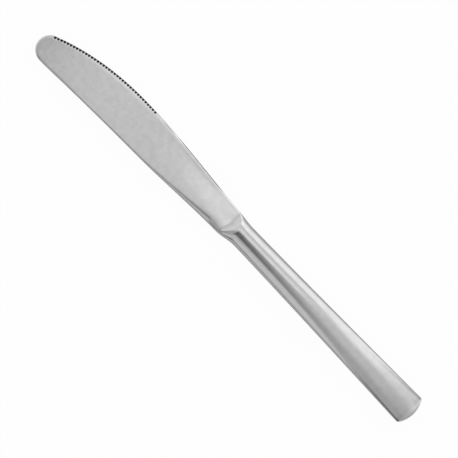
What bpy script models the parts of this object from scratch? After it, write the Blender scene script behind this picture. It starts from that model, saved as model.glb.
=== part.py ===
"""Dessert knife with a hollow handle.

One steel forging carries the serrated blade, the bolster and a keyed tang. The tang is cemented
into a handle of two pressed half shells, which a solder seam joins along their parting line.

Everything is modelled about the joint face between bolster and handle: the tip lies along +X, the
butt along -X, the spine on the +Y side and the cutting edge on the -Y side. Z is the thickness, and
both sides of the knife are alike apart from the serration, which is ground from above only.
"""

import math

import bmesh
import bpy
from mathutils import Matrix, Vector

# Handle, in metres
HANDLE_LENGTH = 0.0950
NECK_WIDTH = 0.0100
NECK_THICKNESS = 0.0070
BUTT_WIDTH = 0.0133
BUTT_THICKNESS = 0.0048
BUTT_END_RADIUS = 0.0123
BUTT_RIM_RADIUS = 0.0004
SHELL_WALL = 0.0007
BUTT_WALL = 0.0010
SEAM_HEIGHT = 0.0005

# Plan of the handle: 1 is a straight taper, more is a waisted one
HANDLE_TAPER = 1.35

# Crown of the handle: 2 is an oval, more is flatter with tighter sides
NECK_FULLNESS = 2.0
BUTT_FULLNESS = 5.0

# Tang and cement
TANG_LENGTH = 0.0480
TANG_END_WIDTH = 0.0044
TANG_END_THICKNESS = 0.0024
TANG_FULLNESS = 3.0
TANG_KEYS = 3
KEY_LENGTH = 0.0040
KEY_DEPTH = 0.0008
CEMENT_LAYER = 0.0012
CEMENT_COVER = 0.0120

# Blade outline: distances run from the joint face, offsets from the axis of the handle
BLADE_LENGTH = 0.1100
SHOULDER_DISTANCE = 0.0090
SHOULDER_OFFSET = 0.00627
SHOULDER_SLOPE = 0.015
MIDDLE_DISTANCE = 0.0520
MIDDLE_OFFSET = 0.00817
MIDDLE_SLOPE = 0.020
FORE_TIP_GAP = 0.0180
FORE_DROP = 0.00049
FORE_SLOPE = 0.046
SPINE_TIP_OFFSET = 0.00993
HEEL_DISTANCE = 0.0080
HEEL_OFFSET = 0.00565
HEEL_SLOPE = 0.08
BELLY_DISTANCE = 0.0630
BELLY_OFFSET = 0.00905
TIP_RADIUS = 0.0057
TIP_SLOPE = 0.41

# Forged skin of the blank, before grinding
BLANK_THICKNESS = 0.0044
BOLSTER_FADE_START = 0.0045
BOLSTER_FADE_END = 0.0200

# Ground faces: flat towards the tip, thickening towards the heel
EDGE_THICKNESS = 0.00060
FACE_SLOPE = 0.0205
DISTAL_TAPER = 0.0030
FLAT_DISTANCE = 0.0550
HEEL_SWELL = 0.0016
SWELL_POWER = 1.6
GRIND_BLEND = 0.00030
HEEL_BLEND = 0.00090

# Run-out of the grinding wheel: a climb from the faces to a V-shaped crest on the bolster, hollow
# for a share of its length and then straight
RUNOUT_DISTANCE = 0.0090
RUNOUT_SHORTEST = 0.0015
RUNOUT_HOLLOW = 0.5
CREST_DISTANCE = 0.0041
CREST_SPINE_SLOPE = 0.85
CREST_EDGE_SLOPE = 0.75
CREST_ROUND = 0.0008
CREST_BLEND = 0.0012

# Cutting edge and serration
EDGE_LAND = 0.00020
EDGE_BEVEL_WIDTH = 0.00070
EDGE_BEVEL_FADE = 0.0030
GULLET_START = 0.0585
GULLET_TIP_GAP = 0.0034
GULLET_PITCH = 0.00136
GULLET_RADIUS = 0.00072
GULLET_ANGLE = math.radians(23)
GULLET_LIP = 0.00005

# Clearances between pieces that touch
JOINT_CLEARANCE = 0.00005
CEMENT_CLEARANCE = 0.00010

# Mesh resolution
HANDLE_STATIONS = 12
HANDLE_POINTS = 20
RIM_SEGMENTS = 3
SPINE_POINTS = 6
FACE_POINTS = 8
BEVEL_POINTS = 3
SPINE_ZONE = 0.0024
NECK_STATIONS = 2
CREST_STATIONS = 4
RUNOUT_STATIONS = 9
HEEL_STATIONS = 16
HEEL_CROWDING = 1.5
FLAT_STATIONS = 14
TIP_STATIONS = 8
TIP_LAST_ANGLE = math.radians(84)
GULLET_SIDES = 12
EDGE_SAMPLES = 400
CUTTER_MARGIN = 0.0020
SHARP_ANGLE = math.radians(30)

# Round tip: its centre, and the point where the belly of the edge runs into it
TIP_CENTRE_X = BLADE_LENGTH - TIP_RADIUS
TIP_CENTRE_Y = SPINE_TIP_OFFSET - TIP_RADIUS
TIP_ANGLE = math.atan(TIP_SLOPE)
TIP_START_X = TIP_CENTRE_X + TIP_RADIUS * math.sin(TIP_ANGLE)
TIP_START_Y = TIP_CENTRE_Y - TIP_RADIUS * math.cos(TIP_ANGLE)


def mix(start, end, share):
    """Straight blend from start to end."""
    return start + (end - start) * share


def smooth_step(share):
    """Blend that leaves 0 and reaches 1 without a kink, clamped outside."""
    share = min(max(share, 0.0), 1.0)
    return share * share * (3.0 - 2.0 * share)


def smooth_min(first, second, blend):
    """Smaller of two heights, with the crossing rounded over the given height."""
    overlap = max(blend - abs(first - second), 0.0) / blend
    return min(first, second) - overlap * overlap * blend / 4.0


def hermite(x, start, end):
    """Cubic through two points, each given as distance, offset and slope."""
    span = end[0] - start[0]
    share = (x - start[0]) / span
    square = share * share
    cube = square * share
    return (
        (2.0 * cube - 3.0 * square + 1.0) * start[1]
        + (cube - 2.0 * square + share) * span * start[2]
        + (3.0 * square - 2.0 * cube) * end[1]
        + (cube - square) * span * end[2]
    )


def steps(start, end, count):
    """Evenly spaced values from start to end, both included."""
    return [mix(start, end, index / count) for index in range(count + 1)]


def new_object(name, data, collection):
    """Object for a mesh or curve, linked to its collection."""
    obj = bpy.data.objects.new(name, data)
    collection.objects.link(obj)
    return obj


def new_material(name, colour, roughness, metallic):
    """Principled finish of one piece."""
    material = bpy.data.materials.new(name)
    material.use_nodes = True
    shader = material.node_tree.nodes["Principled BSDF"]
    shader.inputs["Base Color"].default_value = (*colour, 1.0)
    shader.inputs["Roughness"].default_value = roughness
    shader.inputs["Metallic"].default_value = metallic
    return material


def loft(name, rings, rounded_ring=None):
    """Closed mesh through rings that list their upper points and then their lower points back.

    The end rings are closed by strips from the upper to the lower points, so an end may be curved.
    The edges of rounded_ring carry the weight that a Bevel modifier reads.
    """
    mesh = bpy.data.meshes.new(name)
    bm = bmesh.new()
    weights = bm.edges.layers.float.new("bevel_weight_edge")
    rows = [[bm.verts.new(point) for point in ring] for ring in rings]
    size = len(rows[0])
    for row, following in zip(rows, rows[1:]):
        for index in range(size):
            after = (index + 1) % size
            bm.faces.new((row[index], row[after], following[after], following[index]))
    for row in (rows[0], rows[-1]):
        for index in range(size // 2 - 1):
            bm.faces.new((row[index], row[index + 1], row[-2 - index], row[-1 - index]))
    if rounded_ring is not None:
        row = rows[rounded_ring]
        for index in range(size):
            edge = bm.edges.get((row[index - 1], row[index]))
            edge[weights] = 1.0
    bmesh.ops.recalc_face_normals(bm, faces=bm.faces)
    bm.to_mesh(mesh)
    bm.free()
    mesh.shade_smooth()
    mesh.set_sharp_from_angle(angle=SHARP_ANGLE)
    return mesh


def mirrored_ring(upper):
    """Ring of upper points and the same points below the mid-plane, in reverse."""
    lower = [(x, y, -z) for x, y, z in reversed(upper)]
    return upper + lower


def cut(obj, cutter):
    """Boolean difference of a piece and a cutter."""
    modifier = obj.modifiers.new(cutter.name, "BOOLEAN")
    modifier.operation = "DIFFERENCE"
    modifier.solver = "EXACT"
    modifier.object = cutter


def new_cutter(name, mesh, collection):
    """Tool that only shapes other pieces."""
    cutter = new_object(name, mesh, collection)
    cutter.hide_render = True
    cutter.display_type = "WIRE"
    return cutter


# Handle surfaces


def handle_share(x):
    """0 at the joint face and 1 at the butt."""
    return -x / HANDLE_LENGTH


def handle_half_width(x, inset):
    """Half width of the waisted handle, or of a surface set in from it."""
    share = max(handle_share(x), 0.0) ** HANDLE_TAPER
    return mix(NECK_WIDTH, BUTT_WIDTH, share) / 2.0 - inset


def handle_point(x, y, inset):
    """Point on the upper handle surface, or on a surface set in from it."""
    share = handle_share(x)
    half_thickness = mix(NECK_THICKNESS, BUTT_THICKNESS, share) / 2.0 - inset
    fullness = mix(NECK_FULLNESS, BUTT_FULLNESS, share * share)
    across = min(abs(y) / handle_half_width(x, inset), 1.0)
    height = half_thickness * (1.0 - across * across) ** (1.0 / fullness)
    return (x, y, max(height, SEAM_HEIGHT / 4.0))


def handle_ring(x, inset):
    """Section of the handle square to its axis."""
    half_width = handle_half_width(x, inset)
    angles = steps(0.0, math.pi, HANDLE_POINTS)
    return mirrored_ring([handle_point(x, half_width * math.cos(angle), inset) for angle in angles])


def butt_x(y, inset):
    """Round end of the handle in plan, or of a surface set in from it."""
    radius = BUTT_END_RADIUS - inset
    return BUTT_END_RADIUS - HANDLE_LENGTH - math.sqrt(radius * radius - y * y)


def butt_corner(side_inset, end_inset):
    """Half width where the tapered side meets the round end."""
    half_width = handle_half_width(-HANDLE_LENGTH, side_inset)
    for _ in range(4):
        half_width = handle_half_width(butt_x(half_width, end_inset), side_inset)
    return half_width


def butt_ring(side_inset, end_inset):
    """Last section of the handle, bent to the round end."""
    corner = butt_corner(side_inset, end_inset)
    offsets = [corner * math.cos(angle) for angle in steps(0.0, math.pi, HANDLE_POINTS)]
    return mirrored_ring([handle_point(butt_x(y, end_inset), y, side_inset) for y in offsets])


def handle_rings(start, side_inset, end_inset):
    """Sections from start to the butt."""
    end = butt_x(butt_corner(side_inset, end_inset), end_inset)
    stations = steps(start, end, HANDLE_STATIONS)
    rings = [handle_ring(x, side_inset) for x in stations[:-1]]
    return rings + [butt_ring(side_inset, end_inset)]


# Blade surfaces


def curve_y(x, curve):
    """Offset of a curve of cubics through points, each given as distance, offset and slope."""
    for start, end in zip(curve, curve[1:]):
        if x <= end[0]:
            return hermite(x, start, end)
    raise ValueError("beyond the curve")


def tip_reach(x):
    """Half chord of the round tip at a distance along the blade."""
    ahead = x - TIP_CENTRE_X
    return math.sqrt(max(TIP_RADIUS * TIP_RADIUS - ahead * ahead, 0.0))


def spine_y(x):
    """Spine side of the outline, from the joint face to the tip."""
    if x > TIP_CENTRE_X:
        return TIP_CENTRE_Y + tip_reach(x)
    neck = (0.0, NECK_WIDTH / 2.0, 0.0)
    shoulder = (SHOULDER_DISTANCE, SHOULDER_OFFSET, SHOULDER_SLOPE)
    middle = (MIDDLE_DISTANCE, MIDDLE_OFFSET, MIDDLE_SLOPE)
    fore = (BLADE_LENGTH - FORE_TIP_GAP, SPINE_TIP_OFFSET - FORE_DROP, FORE_SLOPE)
    tip = (TIP_CENTRE_X, SPINE_TIP_OFFSET, 0.0)
    return curve_y(x, [neck, shoulder, middle, fore, tip])


def edge_y(x):
    """Cutting side of the outline, from the joint face to the tip."""
    if x > TIP_START_X:
        return TIP_CENTRE_Y - tip_reach(x)
    neck = (0.0, NECK_WIDTH / 2.0, 0.0)
    heel = (HEEL_DISTANCE, HEEL_OFFSET, HEEL_SLOPE)
    belly = (BELLY_DISTANCE, BELLY_OFFSET, 0.0)
    tip = (TIP_START_X, -TIP_START_Y, -TIP_SLOPE)
    return -curve_y(x, [neck, heel, belly, tip])


def across_share(x, y):
    """0 on the middle of the outline and 1 on its border."""
    if x > TIP_CENTRE_X:
        return math.hypot(x - TIP_CENTRE_X, y - TIP_CENTRE_Y) / TIP_RADIUS
    middle = (spine_y(x) + edge_y(x)) / 2.0
    return abs(y - middle) / (spine_y(x) - middle)


def skin_height(x, y):
    """Half thickness of the forged blank: the oval of the neck, thinning to a rounded plate."""
    fade = smooth_step((x - BOLSTER_FADE_START) / (BOLSTER_FADE_END - BOLSTER_FADE_START))
    across = min(across_share(x, y), 1.0)
    crown = mix(NECK_THICKNESS, BLANK_THICKNESS, fade) / 2.0
    return crown * (1.0 - across * across) ** (1.0 / NECK_FULLNESS)


def face_plane(x, y):
    """Half thickness at the flat front of the ground faces."""
    rise = FACE_SLOPE * (y + BELLY_OFFSET)
    return EDGE_THICKNESS / 2.0 + rise - DISTAL_TAPER * (x - BELLY_DISTANCE)


def heel_share(x):
    """0 on the flat front of the blade and 1 at the heel."""
    return max(FLAT_DISTANCE - x, 0.0) / (FLAT_DISTANCE - HEEL_DISTANCE)


def face_height(x, y):
    """Half thickness that the grinding leaves."""
    share = (y - edge_y(x)) / (spine_y(x) - edge_y(x))
    return face_plane(x, y) + HEEL_SWELL * heel_share(x) ** SWELL_POWER * share


def crest_x(y):
    """Crest of the bolster in plan: a rounded V that points back along the handle."""
    slope = CREST_SPINE_SLOPE if y > 0.0 else CREST_EDGE_SLOPE
    crest = CREST_DISTANCE + slope * (math.hypot(y, CREST_ROUND) - CREST_ROUND)
    return smooth_min(crest, RUNOUT_DISTANCE - RUNOUT_SHORTEST, CREST_BLEND)


def runout_share(x, y):
    """0 on the ground faces and 1 from the crest back, hollow at its foot and then straight."""
    climb = (RUNOUT_DISTANCE - x) / (RUNOUT_DISTANCE - crest_x(y))
    climb = min(max(climb, 0.0), 1.0)
    foot = min(climb, RUNOUT_HOLLOW)
    rise = foot ** 3 / (3.0 * RUNOUT_HOLLOW ** 2) + climb - foot
    return rise / (1.0 - 2.0 * RUNOUT_HOLLOW / 3.0)


def blade_height(x, y):
    """Half thickness of the finished forging ahead of the joint face."""
    skin = skin_height(x, y)
    blend = mix(GRIND_BLEND, HEEL_BLEND, min(heel_share(x), 1.0))
    height = smooth_min(skin, face_height(x, y), blend)
    inward = y - edge_y(x)
    if inward < EDGE_BEVEL_WIDTH:
        crease = face_height(x, edge_y(x) + EDGE_BEVEL_WIDTH)
        bevel = mix(EDGE_LAND / 2.0, crease, inward / EDGE_BEVEL_WIDTH)
        depth = smooth_step((x - RUNOUT_DISTANCE) / EDGE_BEVEL_FADE)
        height = mix(height, min(height, bevel), depth)
    height = mix(height, skin, runout_share(x, y))
    return max(height, EDGE_LAND / 2.0)


def offsets_across(x):
    """Points across the blade, close together on the round spine and on the edge bevel."""
    spine = spine_y(x)
    edge = edge_y(x)
    spine_zone = min(SPINE_ZONE, (spine - edge) / 3.0)
    edge_zone = min(EDGE_BEVEL_WIDTH, (spine - edge) / 5.0)
    rounding = [spine - spine_zone * share * share for share in steps(0.0, 1.0, SPINE_POINTS)]
    face = steps(spine - spine_zone, edge + edge_zone, FACE_POINTS)
    bevel = [edge + edge_zone * share * share for share in steps(1.0, 0.0, BEVEL_POINTS)]
    return rounding + face[1:-1] + bevel


def blade_ring(x):
    """Section of the forging square to its axis."""
    return mirrored_ring([(x, y, blade_height(x, y)) for y in offsets_across(x)])


def runout_ring(share):
    """Section that follows the crest: 0 is square behind it, 1 on it and 2 square ahead of it."""
    upper = []
    for index in range(len(offsets_across(RUNOUT_DISTANCE))):
        x = RUNOUT_DISTANCE
        for _ in range(4):
            y = offsets_across(x)[index]
            if share < 1.0:
                x = mix(CREST_DISTANCE / 2.0, crest_x(y), share)
            else:
                x = mix(crest_x(y), RUNOUT_DISTANCE, share - 1.0)
        upper.append((x, y, blade_height(x, y)))
    return mirrored_ring(upper)


def blade_rings():
    """Sections from the joint face to the tip, close together on the run-out and round the tip."""
    rings = [blade_ring(x) for x in steps(0.0, CREST_DISTANCE / 2.0, NECK_STATIONS)]
    rings += [runout_ring(share) for share in steps(0.0, 1.0, CREST_STATIONS)[1:]]
    rings += [runout_ring(share) for share in steps(1.0, 2.0, RUNOUT_STATIONS)[1:]]
    for share in steps(0.0, 1.0, HEEL_STATIONS)[1:]:
        rings.append(blade_ring(mix(RUNOUT_DISTANCE, FLAT_DISTANCE, share ** HEEL_CROWDING)))
    rings += [blade_ring(x) for x in steps(FLAT_DISTANCE, TIP_CENTRE_X, FLAT_STATIONS)[1:]]
    for angle in steps(0.0, TIP_LAST_ANGLE, TIP_STATIONS)[1:]:
        rings.append(blade_ring(TIP_CENTRE_X + TIP_RADIUS * math.sin(angle)))
    return rings


# Tang


def tang_stations():
    """Sections along the tang, from its end to the joint face, with the flanks of each key."""
    pitch = TANG_LENGTH / (TANG_KEYS + 1)
    stations = [(-TANG_LENGTH, 0.0)]
    for index in range(TANG_KEYS):
        middle = -TANG_LENGTH + pitch * (index + 1)
        for side in (-1.0, 1.0):
            outer = (middle + side * KEY_LENGTH / 2.0, 0.0)
            inner = (middle + side * (KEY_LENGTH / 2.0 - KEY_DEPTH), KEY_DEPTH)
            stations += [outer, inner] if side < 0.0 else [inner, outer]
    return stations + [(0.0, 0.0)]


def tang_ring(x, notch, growth):
    """Section of the tang, grown on all sides for the space it leaves in the cement."""
    share = -x / TANG_LENGTH
    root_width = NECK_WIDTH - 2.0 * (SHELL_WALL + CEMENT_LAYER)
    root_thickness = NECK_THICKNESS - 2.0 * (SHELL_WALL + CEMENT_LAYER)
    half_width = mix(root_width, TANG_END_WIDTH, share) / 2.0 - notch + growth
    half_thickness = mix(root_thickness, TANG_END_THICKNESS, share) / 2.0 + growth
    upper = []
    for y in offsets_across(0.0):
        across = min(2.0 * abs(y) / NECK_WIDTH, 1.0)
        height = half_thickness * (1.0 - across * across) ** (1.0 / TANG_FULLNESS)
        flat_side = half_thickness / 3.0
        upper.append((x, half_width * 2.0 * y / NECK_WIDTH, max(height, flat_side)))
    return mirrored_ring(upper)


# Pieces


def make_blade(parts, cutters):
    """Forging of serrated blade, bolster and tang."""
    rings = [tang_ring(x, notch, 0.0) for x, notch in tang_stations()]
    rings += blade_rings()
    blade = new_object("blade", loft("blade", rings), parts)
    cut(blade, make_gullets(cutters))
    return blade


def gullet_distances():
    """Distances of the gullets along the blade, evenly pitched along the curved edge."""
    samples = steps(GULLET_START, BLADE_LENGTH - GULLET_TIP_GAP, EDGE_SAMPLES)
    distances = [GULLET_START]
    travelled = 0.0
    for x, following in zip(samples, samples[1:]):
        travelled += math.hypot(following - x, edge_y(following) - edge_y(x))
        if travelled >= GULLET_PITCH:
            travelled -= GULLET_PITCH
            distances.append(following)
    return distances


def make_gullets(cutters):
    """Row of round wheels that notch the edge from above and leave a thin lip below."""
    mesh = bpy.data.meshes.new("gullet_wheels")
    bm = bmesh.new()
    length = 2.0 * CUTTER_MARGIN
    probe = GULLET_PITCH / 10.0
    for x in gullet_distances():
        slope = (edge_y(x + probe) - edge_y(x - probe)) / (2.0 * probe)
        outward = Vector((slope, -1.0, 0.0)).normalized()
        up = Vector((0.0, 0.0, 1.0))
        axis = math.cos(GULLET_ANGLE) * outward - math.sin(GULLET_ANGLE) * up
        lift = math.sin(GULLET_ANGLE) * outward + math.cos(GULLET_ANGLE) * up
        bottom = Vector((x, edge_y(x), GULLET_LIP - EDGE_LAND / 2.0))
        rotation = up.rotation_difference(axis).to_matrix().to_4x4()
        place = Matrix.Translation(bottom + GULLET_RADIUS * lift) @ rotation
        bmesh.ops.create_cone(
            bm,
            cap_ends=True,
            segments=GULLET_SIDES,
            radius1=GULLET_RADIUS,
            radius2=GULLET_RADIUS,
            depth=length,
            matrix=place,
        )
    bm.to_mesh(mesh)
    bm.free()
    return new_cutter("gullet_wheels", mesh, cutters)


def make_shells(parts, cutters):
    """Upper and lower pressed half of the hollow handle."""
    body = loft("handle_shell", handle_rings(-JOINT_CLEARANCE, 0.0, 0.0), rounded_ring=-1)
    cavity_rings = handle_rings(CUTTER_MARGIN, SHELL_WALL, BUTT_WALL)
    cavity = new_cutter("handle_cavity", loft("handle_cavity", cavity_rings), cutters)
    shells = []
    for name, side in (("handle_shell_upper", 1.0), ("handle_shell_lower", -1.0)):
        shell = new_object(name, body.copy(), parts)
        rim = shell.modifiers.new("butt_rim", "BEVEL")
        rim.limit_method = "WEIGHT"
        rim.width = BUTT_RIM_RADIUS
        rim.segments = RIM_SEGMENTS
        cut(shell, cavity)
        cut(shell, make_parting_block(name, side, cutters))
        shells.append(shell)
    return shells


def make_parting_block(name, side, cutters):
    """Block that takes away the other half of the handle and the room for the seam."""
    width = BUTT_WIDTH + NECK_WIDTH
    length = HANDLE_LENGTH + 2.0 * CUTTER_MARGIN
    height = NECK_THICKNESS + BUTT_THICKNESS
    face = side * (SEAM_HEIGHT / 2.0 + JOINT_CLEARANCE)
    centre = Vector((-HANDLE_LENGTH / 2.0, 0.0, face - side * height / 2.0))
    mesh = bpy.data.meshes.new(name + "_parting")
    bm = bmesh.new()
    bmesh.ops.create_cube(bm, size=1.0)
    bmesh.ops.transform(bm, matrix=Matrix.Diagonal((length, width, height, 1.0)), verts=bm.verts)
    bmesh.ops.translate(bm, vec=centre, verts=bm.verts)
    bm.to_mesh(mesh)
    bm.free()
    return new_cutter(name + "_parting", mesh, cutters)


def seam_side(side_inset, end_inset, blunt):
    """One border of the seam in plan, from the mouth on the spine side round to the other side.

    The corner at the butt is taken off by blunt, as the rounded rim of the shells is.
    """
    corner = butt_corner(side_inset, end_inset)
    radius = BUTT_END_RADIUS - end_inset
    corner_angle = math.asin(corner / radius) - blunt / radius
    corner_x = butt_x(corner, end_inset) + blunt
    centre_x = BUTT_END_RADIUS - HANDLE_LENGTH
    arc = []
    for angle in steps(corner_angle, -corner_angle, HANDLE_POINTS):
        arc.append((centre_x - radius * math.cos(angle), radius * math.sin(angle)))
    stations = steps(-JOINT_CLEARANCE, corner_x, HANDLE_STATIONS)
    start = [(x, handle_half_width(x, side_inset)) for x in stations]
    end = [(x, -y) for x, y in reversed(start)]
    return start + arc + end


def make_seam(parts):
    """Solder seam along the parting line, ground flush with the shells."""
    outer = seam_side(0.0, 0.0, BUTT_RIM_RADIUS)
    inner = seam_side(SHELL_WALL, BUTT_WALL, 0.0)
    outline = outer + inner[::-1]
    curve = bpy.data.curves.new("handle_seam", "CURVE")
    curve.dimensions = "2D"
    curve.fill_mode = "BOTH"
    curve.extrude = SEAM_HEIGHT / 2.0
    spline = curve.splines.new("POLY")
    spline.points.add(len(outline) - 1)
    for point, (x, y) in zip(spline.points, outline):
        point.co = (x, y, 0.0, 1.0)
    spline.use_cyclic_u = True
    return new_object("handle_seam", curve, parts)


def make_cement(parts, cutters):
    """Filler that bonds the tang in the hollow of the handle."""
    inset = SHELL_WALL + CEMENT_CLEARANCE
    depth = TANG_LENGTH + CEMENT_COVER
    rings = [handle_ring(x, inset) for x in steps(-JOINT_CLEARANCE, -depth, HANDLE_STATIONS)]
    cement = new_object("tang_cement", loft("tang_cement", rings), parts)
    socket = [tang_ring(x, notch, CEMENT_CLEARANCE) for x, notch in tang_stations()]
    end = [(x - CEMENT_CLEARANCE, y, z) for x, y, z in socket[0]]
    mouth = [(x + CUTTER_MARGIN, y, z) for x, y, z in socket[-1]]
    mesh = loft("tang_socket", [end] + socket[1:-1] + [mouth])
    cut(cement, new_cutter("tang_socket", mesh, cutters))
    return cement


def stand_on_origin(root, pieces):
    """Place the knife so that the middle of the underside of its box is the origin."""
    graph = bpy.context.evaluated_depsgraph_get()
    points = []
    for piece in pieces:
        mesh = piece.evaluated_get(graph).to_mesh()
        points += [vertex.co.copy() for vertex in mesh.vertices]
    low = [min(point[axis] for point in points) for axis in range(3)]
    high = [max(point[axis] for point in points) for axis in range(3)]
    root.location = (-(low[0] + high[0]) / 2.0, -(low[1] + high[1]) / 2.0, -low[2])


def main():
    for obj in list(bpy.data.objects):
        bpy.data.objects.remove(obj, do_unlink=True)
    parts = bpy.data.collections.new("dessert_knife")
    cutters = bpy.data.collections.new("cutters")
    for collection in (parts, cutters):
        bpy.context.scene.collection.children.link(collection)

    blade = make_blade(parts, cutters)
    shells = make_shells(parts, cutters)
    seam = make_seam(parts)
    cement = make_cement(parts, cutters)

    blade.data.materials.append(new_material("satin_blade_steel", (0.60, 0.60, 0.60), 0.30, 1.0))
    for shell in shells:
        shell.data.materials.append(
            new_material(shell.name + "_steel", (0.60, 0.60, 0.60), 0.24, 1.0)
        )
    seam.data.materials.append(new_material("ground_solder", (0.56, 0.56, 0.56), 0.30, 1.0))
    cement.data.materials.append(new_material("tang_cement", (0.62, 0.59, 0.53), 0.90, 0.0))

    root = new_object("knife_root", None, parts)
    pieces = [blade, *shells, seam, cement]
    stand_on_origin(root, pieces)
    for obj in pieces + list(cutters.objects):
        obj.parent = root


main()
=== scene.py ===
"""Finished surfaces of a dessert knife: a satin steel blade and hollow handle in a white studio.

The knife is modelled about the joint face between bolster and handle, with the tip along +X, the
spine on the +Y side and the thickness along Z, and is then placed where its solids lie.
"""

import math
from contextlib import contextmanager

import bmesh
import bpy
from bpy.props import FloatProperty, FloatVectorProperty, IntProperty, PointerProperty
from mathutils import Matrix, Vector


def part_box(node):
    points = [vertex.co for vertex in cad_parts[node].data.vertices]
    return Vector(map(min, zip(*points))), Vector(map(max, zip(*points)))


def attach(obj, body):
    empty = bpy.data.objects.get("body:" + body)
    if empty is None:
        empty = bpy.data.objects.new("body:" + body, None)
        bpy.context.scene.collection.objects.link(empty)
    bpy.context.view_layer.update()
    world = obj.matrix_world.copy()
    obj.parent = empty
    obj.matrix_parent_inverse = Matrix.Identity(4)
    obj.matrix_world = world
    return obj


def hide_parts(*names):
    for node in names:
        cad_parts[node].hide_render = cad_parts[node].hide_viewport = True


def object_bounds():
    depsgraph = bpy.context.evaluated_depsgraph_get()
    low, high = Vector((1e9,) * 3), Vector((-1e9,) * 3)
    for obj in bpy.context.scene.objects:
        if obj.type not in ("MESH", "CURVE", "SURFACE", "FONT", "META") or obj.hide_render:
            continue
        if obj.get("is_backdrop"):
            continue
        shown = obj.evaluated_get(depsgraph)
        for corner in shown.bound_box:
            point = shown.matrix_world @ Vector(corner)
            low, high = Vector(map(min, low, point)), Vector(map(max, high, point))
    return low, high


bl_info = {
    "name": "Dessert Knife",
    "version": (1, 0, 0),
    "blender": (4, 5, 0),
    "location": "View3D > Sidebar > Knife",
    "description": "Builds the finished surfaces of a dessert knife around its solids",
    "category": "Add Mesh",
}

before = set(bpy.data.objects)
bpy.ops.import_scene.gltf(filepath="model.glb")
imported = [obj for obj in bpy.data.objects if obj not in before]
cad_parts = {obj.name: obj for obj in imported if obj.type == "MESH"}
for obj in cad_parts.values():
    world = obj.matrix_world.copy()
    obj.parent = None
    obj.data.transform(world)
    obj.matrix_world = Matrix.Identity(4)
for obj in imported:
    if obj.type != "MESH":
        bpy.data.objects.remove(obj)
cad_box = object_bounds()
blade_low, blade_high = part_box("blade")
shell_low, shell_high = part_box("handle_shell_upper")

# Gap that the solids leave at the joint face, the hairline that is left of it on the finished
# knife, and the joint's place in the frame
JOINT_GAP = 0.00005
HAIRLINE = 0.000005
JOINT = Vector((
    shell_high.x + JOINT_GAP,
    (shell_low.y + shell_high.y) / 2.0,
    (blade_low.z + blade_high.z) / 2.0,
))

# Resolution of the meshes
HANDLE_STATIONS = 80
HANDLE_POINTS = 64
RIM_STEPS = 6
SPINE_POINTS = 16
FACE_POINTS = 22
BEVEL_POINTS = 4
SPINE_ZONE = 0.0024
SPINE_ZONE_PARTS = 3.0
EDGE_ZONE_PARTS = 5.0
NECK_STATIONS = 6
CREST_STATIONS = 14
RUNOUT_STATIONS = 28
HEEL_STATIONS = 90
HEEL_CROWDING = 1.3
FLAT_STATIONS = 150
TIP_STATIONS = 30
TIP_LAST_ANGLE = math.radians(88)
GULLET_SIDES = 28
EDGE_SAMPLES = 800
FLOOR_SIDES = 96

# Rounds in which a point settles where two outlines meet, steps in a gullet's pitch that find the
# slope of the edge, reach of a cutter past what it cuts, least angle of a sharp edge, and width of
# the slivers that are dissolved
SETTLE_ROUNDS = 4
SLOPE_PROBES = 10.0
CUTTER_MARGIN = 0.0020
SHARP_ANGLE = math.radians(35)
SLIVER = 0.0000001

# Height that the sections keep at their borders: the seam of the handle, and the half thickness of
# the tang, each divided by this many parts
SEAM_PARTS = 4.0
TANG_RIM_PARTS = 3.0

# How soon the hollow and the roll-off along the edge come in, and the least share of the bevel
# that is kept for the points of its wall
HOLLOW_FADE = 1.5
ROLL_FADE = 4.0
WALL_LEAST = 0.05

# Texture of the steel: how long the polishing lines and the waves of buffing are drawn out, and
# how deep lines, clouds and waves go
GRAIN_STRETCH = 14.0
GRAIN_SHADE = 0.06
GRAIN_ROUGHNESS = 0.3
GRAIN_RELIEF = 0.12
CLOUD_ROUGHNESS = 0.4
BUFF_STRETCH = 0.33
GRAIN_NOISE = {"Detail": 3.0, "Roughness": 0.6}
CLOUD_NOISE = {"Detail": 3.0, "Roughness": 0.55}
BUFF_NOISE = {"Detail": 2.0, "Roughness": 0.5}
NOISE_MEAN = 0.5

# Texture of the cement: fine grit and broad patches
GRIT_NOISE = {"Scale": 2500.0, "Detail": 4.0}
PATCH_NOISE = {"Scale": 300.0, "Detail": 2.0}
CEMENT_SHADE = 0.85
PATCH_SHADE = 0.2
GRIT_SHADE = 0.1
GRIT_RELIEF = {"Strength": 0.4, "Distance": 0.0001}
CEMENT_ROUGHNESS = 0.9

# Light levels of the studio tent, and the shade that each gap leaves in it
SPINE_PANEL = 0.87
SPINE_BLADE_PANEL = 0.50
SPINE_FAR_SHADE = 0.65
SPINE_HORIZON_SHADE = 0.75
SHADOW_PANEL = 0.60
OVERHEAD_PANEL = 0.87
BLADE_PANEL = 0.925
SIDE_PANEL = 1.42
SIDE_HEEL_LIGHT = 0.28
STRIP_LIGHT = 0.33
STRIP_BLADE_LIGHT = 0.27
END_PANEL = 0.90
CREST_PANEL = 1.05
FOOT_SHADE = 0.10
END_SIDE_PANEL = 1.50
BUTT_PANEL = 0.62
FAR_SHADE = 0.25
FAR_RIM_SHADE = 0.5
RIM_SHADE = 0.43
HORIZON_SHADE = 0.23
CAMERA_SHADE = 0.95
TIP_SHADE = 0.45
BUTT_SHADE = 0.05
BUTT_RIM_SHADE = 0.14

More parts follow.
